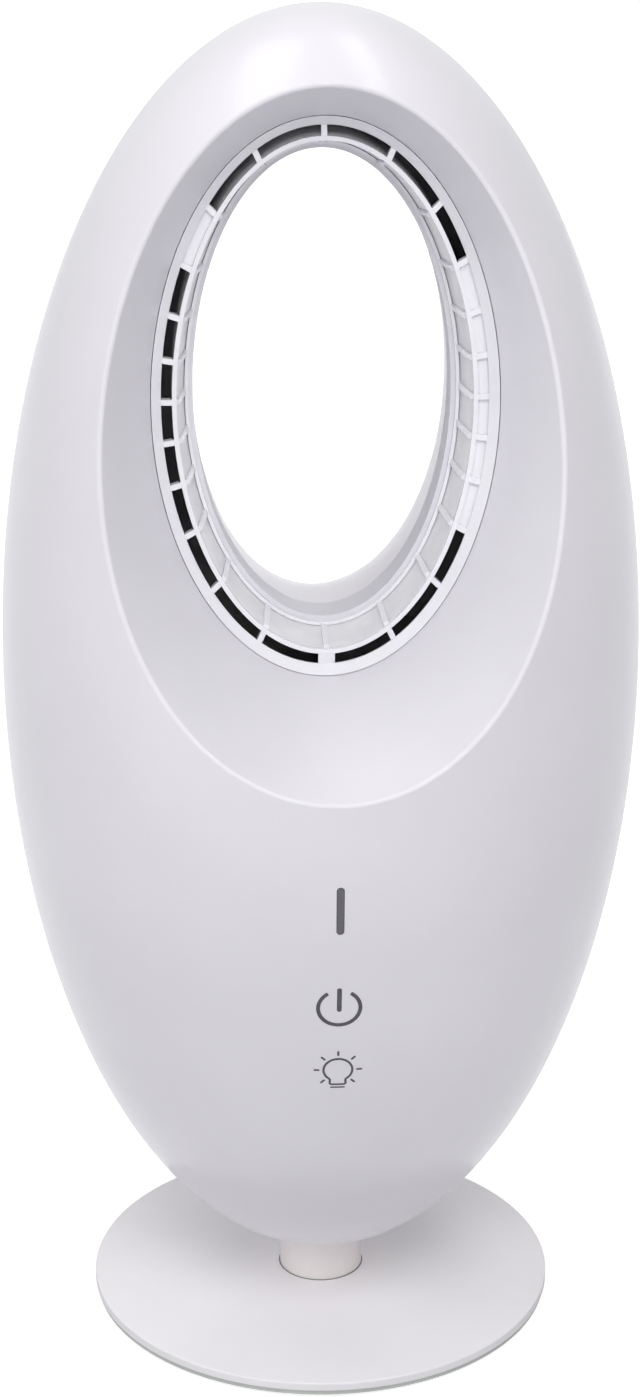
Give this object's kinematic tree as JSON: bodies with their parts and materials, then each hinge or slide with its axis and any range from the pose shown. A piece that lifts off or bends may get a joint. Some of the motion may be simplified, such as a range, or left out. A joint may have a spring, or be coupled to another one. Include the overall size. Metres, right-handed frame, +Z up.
{
  "type": "bladeless fan",
  "caption": "Egg-shaped desk bladeless fan with an oval air outlet ring round a hole through its head, touch marks on its front, and a short neck on a round base.",
  "frame": {"origin": "centre of the base's footprint, on the surface it stands on", "axes": "+Z up along the neck and the body's long axis, -Y towards the front where the touch marks and the outlet ring face, +X to the object's left"},
  "size_m": [0.15, 0.1495, 0.3255],
  "materials": {
    "shell_white": "moulded, satin gloss",
    "grille_white": "moulded, glossy",
    "guide_milky": "translucent, milky",
    "neck_white": "moulded, satin",
    "intake_white": "fine grain",
    "inner_white": "plain moulded",
    "impeller_grey": "glass-filled, plain",
    "lens_dark": "smoked, glossy",
    "board_green": "solder mask",
    "foam_black": "closed-cell foam",
    "filter_foam": "open-cell mesh",
    "foot_rubber": "matte",
    "motor_steel": "zinc plated",
    "lamination_steel": "stacked laminations",
    "magnet_dark": "sintered",
    "shaft_steel": "ground",
    "screw_steel": "zinc plated",
    "weight_steel": "rolled sheet",
    "pan_grey": "fine grain",
    "socket_black": "plain moulded",
    "nut_steel": "zinc plated"
  },
  "bodies": {
    "fan_body": {"air_plate": "inner_white", "base_cover": "shell_white", "base_feet": "foot_rubber", "base_pan": "pan_grey", "base_screws": "screw_steel", "base_weight": "weight_steel", "board_screws": "screw_steel", "control_board": "board_green", "dust_filter": "filter_foam", "fan_gasket": "foam_black", "fan_housing": "inner_white", "fan_inlet": "inner_white", "front_shell": "shell_white", "housing_screws": "screw_steel", "indicator_lens": "lens_dark", "intake_grille": "intake_white", "lamp_board": "board_green", "light_guide": "guide_milky", "motor_bearings": "shaft_steel", "motor_can": "motor_steel", "motor_cap": "inner_white", "motor_lid": "motor_steel", "motor_screws": "screw_steel", "motor_stator": "lamination_steel", "neck_nut": "nut_steel", "neck_stem": "neck_white", "neck_washer": "nut_steel", "outlet_grille": "grille_white", "outlet_nozzle": "inner_white", "plate_screws": "screw_steel", "power_socket": "socket_black", "rear_shell": "shell_white", "shell_screws": "screw_steel", "throat_sleeve": "grille_white", "touch_pads": "foam_black"},
    "rotor": {"impeller": "impeller_grey", "motor_rotor": "magnet_dark", "motor_shaft": "shaft_steel"}
  },
  "joints": [
    {"name": "impeller_spin", "type": "hinge", "parent": "fan_body", "child": "rotor", "pos_m": [0, 0, 0.1], "axis": [0, 0, 1], "continuous": true}
  ]
}
